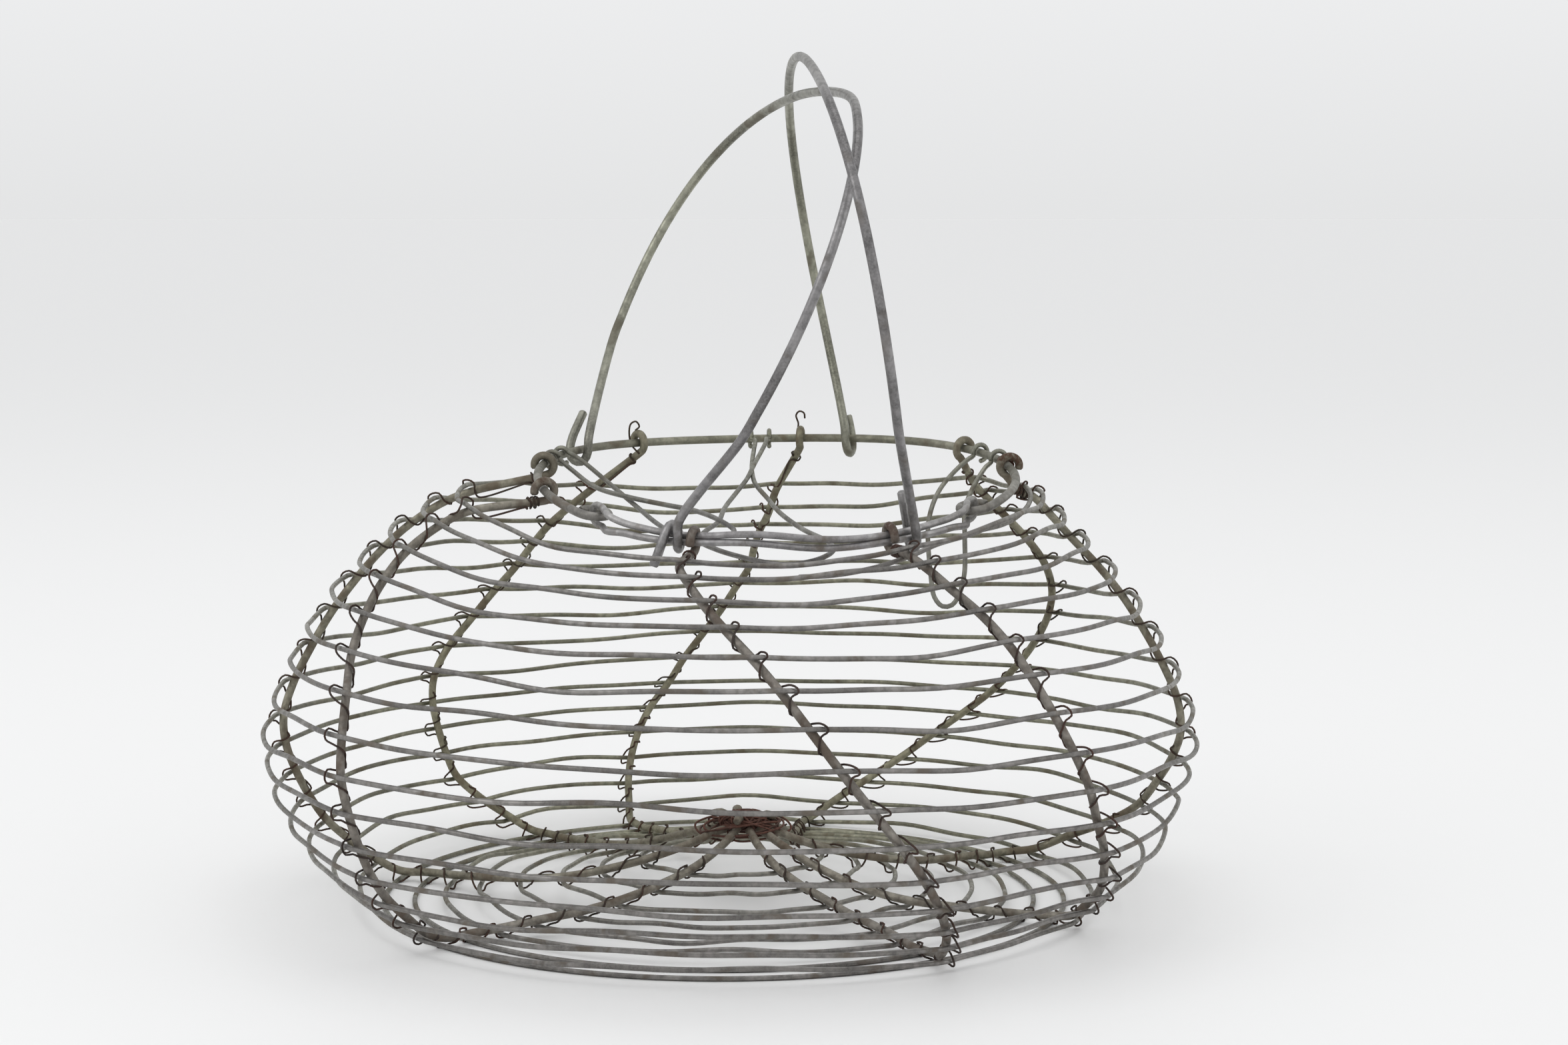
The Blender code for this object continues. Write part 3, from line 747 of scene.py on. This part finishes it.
def make_ribs():
    for name in RIB_AZIMUTHS:
        points = spline(rib_route(name), 0.0015)
        count = len(points)
        share = EYE_RUST.get(name, PLAIN_EYE_RUST)
        eye = [share * max(0.0, 1 - abs(i - 8) / 16) for i in range(count)]
        floor = [FLOOR_RUST * max(0.0, (i - count + 30) / 30) for i in range(count)]
        rust = [max(a, b) for a, b in zip(eye, floor)]
        add(tube(f"rib_{name}", points, RIB_R, 12, rust=rust), RIB_METAL, "basket", "frame_wire",
            f"rib_{name}")


def make_lashings():
    for name in RIB_AZIMUTHS:
        points = spline(lashing_route(name), 0.0008)
        shake = wander("rust " + name)
        rust = [0.35 + 0.35 * shake(i / 300) for i in range(len(points))]
        add(tube(f"lashing_{name}", points, LASH_R, 7, rust=rust), LASH_METAL, "basket",
            "rusty_binding_wire", f"lashing_{name}")


def make_hub():
    """A wound ball of fine rusty wire round the ribs' ends, with some looser turns under it."""
    dice = random.Random("hub")
    height = skin(HUB_TURN, 0).z + rib_inset() + HUB_LIFT
    centre = Vector((skin_value(3, HUB_TURN), 0.0, height))
    points = []
    for turn in range(HUB_WINDINGS):
        tilt = Vector((dice.gauss(0, 0.8), dice.gauss(0, 0.9), dice.gauss(0, 0.8))).normalized()
        u = tilt.orthogonal().normalized()
        v = tilt.cross(u)
        loose = turn % LOOSE_EVERY == LOOSE_EVERY - 1
        wide, deep, high = LOOSE_WINDING if loose else TIGHT_WINDING
        grow = dice.uniform(0.78, 1.12)
        shift = Vector((0, 0, 0))
        if loose:
            shift = Vector((dice.uniform(-0.001, 0.004), 0, -LOOSE_DROP))
        start = dice.uniform(0, 6.28)
        for k in range(9):
            a = start + 2 * math.pi * k / 8
            p = u * math.cos(a) + v * math.sin(a)
            points.append(centre + shift + Vector((p.x * wide, p.y * deep, p.z * high)) * grow)
    route = spline(points, 0.0009)
    rust = [0.45 + 0.45 * math.sin(i / 23) for i in range(len(route))]
    add(tube("hub_tie", route, TIE_R, 7, rust=rust), HUB_METAL, "basket", "rusty_binding_wire",
        "hub_tie")


def make_bindings():
    """Rusty wire wound on the rim beside one rib, and bent ends of fine wire on two others."""
    dice = random.Random("binding")
    rim = [rim_point(9.3 + 0.05 * k) for k in range(110)]
    points = spline(coil(rim, 2, 92, 6, RIM_R + LASH_R, dice), 0.0005)
    add(tube("rim_binding", points, LASH_R, 7, rust=[0.9] * len(points)), HUB_METAL, "basket",
        "rusty_binding_wire")
    for name, steps in WIRE_ENDS.items():
        azimuth = rib_azimuth(name, MOUTH_TURN)
        along = rim_direction(azimuth)
        outward = along.cross(Vector((0, 0, 1))).normalized()
        up = outward.cross(along)
        points = [rim_point(azimuth) + (outward * o + up * u + along * t) * 0.001 for o, u, t in steps]
        points = spline(points, 0.0005)
        add(tube(f"wire_end_{name}", points, LASH_R, 7, rust=[0.2] * len(points)), LASH_METAL,
            "basket", "rusty_binding_wire")


def make_rim():
    add(tube("rim_hoop", spline(hoop_route(), 0.0016), RIM_R, 12), HOOP_METAL, "basket", "frame_wire",
        "rim_hoop")
    route = spline(link_route(), 0.0012, closed=True)
    add(tube("rim_front_link", route, LINK_R, 12, closed=True), LINK_METAL, "basket", "frame_wire",
        "rim_front_link")


def make_bails():
    for name in BAILS:
        points = spline(bail_route(name), 0.0016)
        add(tube(name, points, BAIL_R, 14), BAIL_METAL, name, "bail_wire", name)


def make_flaps():
    for name in FLAPS:
        points = spline(flap_route(name), 0.0012)
        add(tube(name, points, FLAP_R, 10), FLAP_METAL, name, "flap_wire", name)


# ---------------------------------------------------------------- stage, light and camera

def plain(name, colour, roughness):
    material = bpy.data.materials.new(name)
    material.use_nodes = True
    shader = material.node_tree.nodes["Principled BSDF"]
    shader.inputs["Base Color"].default_value = (*colour, 1)
    shader.inputs["Roughness"].default_value = roughness
    return material


def make_stage():
    """A wide, level, pale floor."""
    mesh = bpy.data.meshes.new("floor")
    corners = [(-60, -60, -0.0001), (60, -60, -0.0001), (60, 60, -0.0001), (-60, 60, -0.0001)]
    mesh.from_pydata(corners, [], [(0, 1, 2, 3)])
    floor = bpy.data.objects.new("floor", mesh)
    bpy.context.scene.collection.objects.link(floor)
    mesh.materials.append(plain("pale_floor", (0.86, 0.86, 0.855), 0.6))


def lamp(name, place, target, size, power, colour=(1, 1, 1)):
    light = bpy.data.lights.new(name, "AREA")
    light.shape = "RECTANGLE"
    light.size, light.size_y = size
    light.energy = power
    light.color = colour
    thing = bpy.data.objects.new(name, light)
    thing.location = place
    thing.rotation_euler = (Vector(target) - Vector(place)).to_track_quat("-Z", "Y").to_euler()
    bpy.context.scene.collection.objects.link(thing)


def make_lights():
    """A soft white room, a little brighter overhead than at the horizon, and three large lamps."""
    world = bpy.data.worlds.new("studio")
    world.use_nodes = True
    nodes, links = world.node_tree.nodes, world.node_tree.links
    place = nodes.new("ShaderNodeTexCoord")
    split = nodes.new("ShaderNodeSeparateXYZ")
    links.new(place.outputs["Generated"], split.inputs[0])
    ramp = nodes.new("ShaderNodeValToRGB")
    ramp.color_ramp.elements[0].position = 0.0
    ramp.color_ramp.elements[0].color = (0.82, 0.825, 0.83, 1)
    ramp.color_ramp.elements[1].position = 0.12
    ramp.color_ramp.elements[1].color = (0.935, 0.94, 0.95, 1)
    links.new(split.outputs["Z"], ramp.inputs[0])
    links.new(ramp.outputs["Color"], nodes["Background"].inputs["Color"])
    nodes["Background"].inputs["Strength"].default_value = 0.95
    bpy.context.scene.world = world
    lamp("window", (-1.5, -0.9, 1.5), (0, 0, 0.08), (1.4, 1.4), 7)
    lamp("fill", (1.6, -0.7, 0.9), (0, 0, 0.08), (1.2, 1.2), 2)
    lamp("top", (0.1, 0.2, 1.9), (0, 0.1, 0), (1.6, 1.2), 4)


def make_camera():
    bpy.context.scene.view_settings.view_transform = "Standard"
    camera = bpy.data.objects.new("camera", bpy.data.cameras.new("camera"))
    camera.data.lens = CAMERA_LENS
    camera.data.sensor_width = SENSOR_WIDTH
    camera.data.clip_start = 0.05
    camera.location = CAMERA_PLACE
    camera.rotation_euler = (math.radians(90 + CAMERA_PITCH), 0, math.radians(CAMERA_YAW))
    bpy.context.scene.collection.objects.link(camera)
    bpy.context.scene.camera = camera


make_side_wire()
make_ribs()
make_lashings()
make_hub()
make_bindings()
make_rim()
make_bails()
make_flaps()
make_stage()
make_lights()
make_camera()

bpy.context.view_layer.update()
